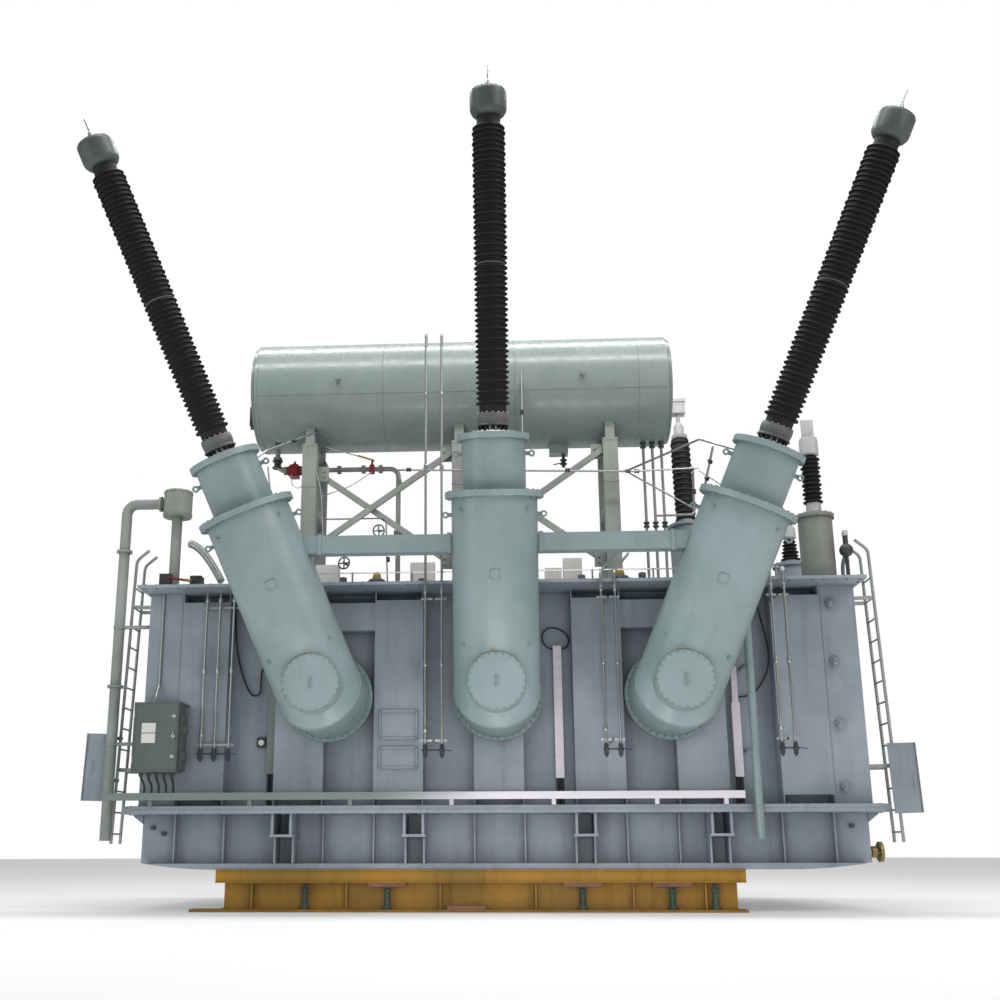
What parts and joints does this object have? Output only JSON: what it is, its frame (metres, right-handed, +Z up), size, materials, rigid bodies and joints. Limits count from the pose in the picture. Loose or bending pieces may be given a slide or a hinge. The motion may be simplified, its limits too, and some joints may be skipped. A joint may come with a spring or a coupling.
{
  "type": "power transformer",
  "caption": "Large oil-filled power transformer with three splayed high-voltage bushings, a rib-stiffened tank, an oil conservator, ladders and a works stand.",
  "frame": {"origin": "on the floor under the middle of the tank, on the stand's centre cross beam", "axes": "+X along the tank towards the neutral bushing end, high-voltage side faces -Y, +Z up"},
  "size_m": [12.841, 7.7607, 12.0153],
  "materials": {
    "tank_paint": "satin grey-blue machinery paint",
    "frame_paint": "primed and painted steel section",
    "bushing_rubber": "moulded silicone rubber sheds",
    "cabinet_paint": "satin grey-green powder coat",
    "cable_sheath": "matt black PVC sheath",
    "bare_aluminium": "mill finish sheet",
    "conservator_paint": "gloss grey-green machinery paint",
    "relay_paint": "gloss red paint",
    "galvanised": "hot-dip galvanised",
    "neutral_paint": "grey paint",
    "stainless": "stainless pipe, brushed",
    "stand_paint": "worn ochre paint",
    "jack_paint": "dark green paint",
    "turret_paint": "gloss pale grey-green machinery paint",
    "timber": "rough sawn"
  },
  "bodies": {
    "transformer": {"bottom_skids": "tank_paint", "breather_pipes": "frame_paint", "bushing_centre": "bushing_rubber", "bushing_left": "bushing_rubber", "bushing_right": "bushing_rubber", "cable_centre": "cable_sheath", "cable_left": "cable_sheath", "cable_right": "cable_sheath", "cable_tray": "bare_aluminium", "cable_trunkings": "bare_aluminium", "conservator": "conservator_paint", "conservator_braces": "frame_paint", "conservator_frames": "frame_paint", "control_cabinet": "cabinet_paint", "discharge_pipe": "tank_paint", "down_pipe": "tank_paint", "drain_valve": "tank_paint", "end_stiffeners": "tank_paint", "front_stiffeners": "tank_paint", "gas_relay": "relay_paint", "jacking_brackets": "tank_paint", "ladder_rungs": "galvanised", "ladder_stays": "galvanised", "ladder_stiles": "galvanised", "low_voltage_bushing": "bushing_rubber", "low_voltage_turret": "tank_paint", "lower_joint_flange": "tank_paint", "lower_ribs": "tank_paint", "lower_tank": "tank_paint", "neutral_bushing": "bushing_rubber", "neutral_turret": "neutral_paint", "oil_gauge": "tank_paint", "oil_pipe": "tank_paint", "rear_stiffeners": "tank_paint", "relief_device": "tank_paint", "sampling_pipes": "stainless", "stand_cross_beams": "stand_paint", "stand_girders": "stand_paint", "support_jacks": "jack_paint", "tank_corners": "tank_paint", "tank_cover": "tank_paint", "tertiary_bushing": "bushing_rubber", "tertiary_turret": "tank_paint", "tie_beams": "turret_paint", "timber_packing": "timber", "turret_centre": "turret_paint", "turret_covers": "turret_paint", "turret_left": "turret_paint", "turret_necks": "turret_paint", "turret_nozzles": "tank_paint", "turret_right": "turret_paint", "upper_joint_flange": "tank_paint", "upper_tank": "tank_paint", "vent_pipes": "stainless"},
    "cabinet_door": {"cabinet_door": "cabinet_paint"},
    "ladder_guard_left": {"ladder_guard_left": "tank_paint"},
    "ladder_guard_right": {"ladder_guard_right": "tank_paint"}
  },
  "joints": [
    {"name": "cabinet_door_hinge", "type": "hinge", "parent": "transformer", "child": "cabinet_door", "pos_m": [-5.465, -2.566, 2.5375], "axis": [0, 0, -1], "range_deg": [0, 110]},
    {"name": "ladder_guard_left_hinge", "type": "hinge", "parent": "transformer", "child": "ladder_guard_left", "pos_m": [-5.97754, -1.615, 2.18956], "axis": [-0.027, 0, -0.9996], "range_deg": [0, 90]},
    {"name": "ladder_guard_right_hinge", "type": "hinge", "parent": "transformer", "child": "ladder_guard_right", "pos_m": [5.97754, -1.615, 2.18956], "axis": [-0.027, 0, 0.9996], "range_deg": [0, 90]}
  ]
}
